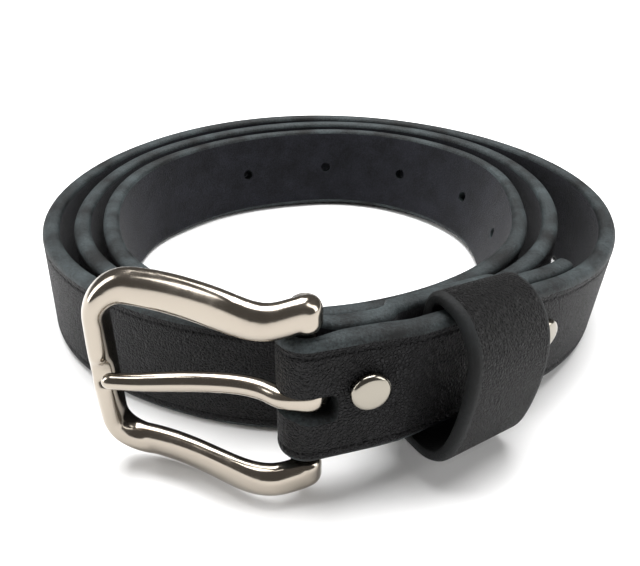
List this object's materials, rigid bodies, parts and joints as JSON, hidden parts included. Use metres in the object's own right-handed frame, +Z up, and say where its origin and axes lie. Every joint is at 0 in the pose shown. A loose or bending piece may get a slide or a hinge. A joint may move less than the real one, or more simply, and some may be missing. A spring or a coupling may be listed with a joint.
{
  "type": "leather belt",
  "caption": "Coiled leather dress belt with a hinged heel-bar buckle, swinging prong, riveted fold and a captive keeper loop.",
  "frame": {"origin": "bottom centre of the whole coiled belt, on the surface it stands on", "axes": "+Z up across the strap's width, -Y towards the buckle's side, +X to the right seen from the buckle"},
  "size_m": [0.1476, 0.1597, 0.0429],
  "materials": {
    "strap_leather": "black vegetable-tanned grain, burnished edges, suede flesh side",
    "keeper_leather": "black vegetable-tanned grain, cut edges",
    "buckle_metal": "polished nickel plate on a casting",
    "prong_metal": "polished nickel plate on bent wire",
    "rivet_metal": "bright nickel plate",
    "staple_wire": "flat steel wire"
  },
  "bodies": {
    "strap": {"strap": "strap_leather", "front_rivet_cap": "rivet_metal", "front_rivet_post": "rivet_metal", "rear_rivet_cap": "rivet_metal", "rear_rivet_post": "rivet_metal"},
    "buckle": {"buckle_frame": "buckle_metal"},
    "prong": {"prong": "prong_metal"},
    "keeper": {"keeper_loop": "keeper_leather", "keeper_staple": "staple_wire"}
  },
  "joints": [
    {"name": "buckle_swing", "type": "hinge", "parent": "strap", "child": "buckle", "pos_m": [-0.00445, -0.07429, 0.02204], "axis": [0, 0, 1], "range_deg": [0, 45]},
    {"name": "prong_swing", "type": "hinge", "parent": "buckle", "child": "prong", "pos_m": [-0.00445, -0.07429, 0.02204], "axis": [0, 0, 1], "range_deg": [0, 55]},
    {"name": "keeper_slide", "type": "slide", "parent": "strap", "child": "keeper", "axis": [-0.7784, -0.6102, 0.1474], "range_m": [0, 0.002]}
  ]
}
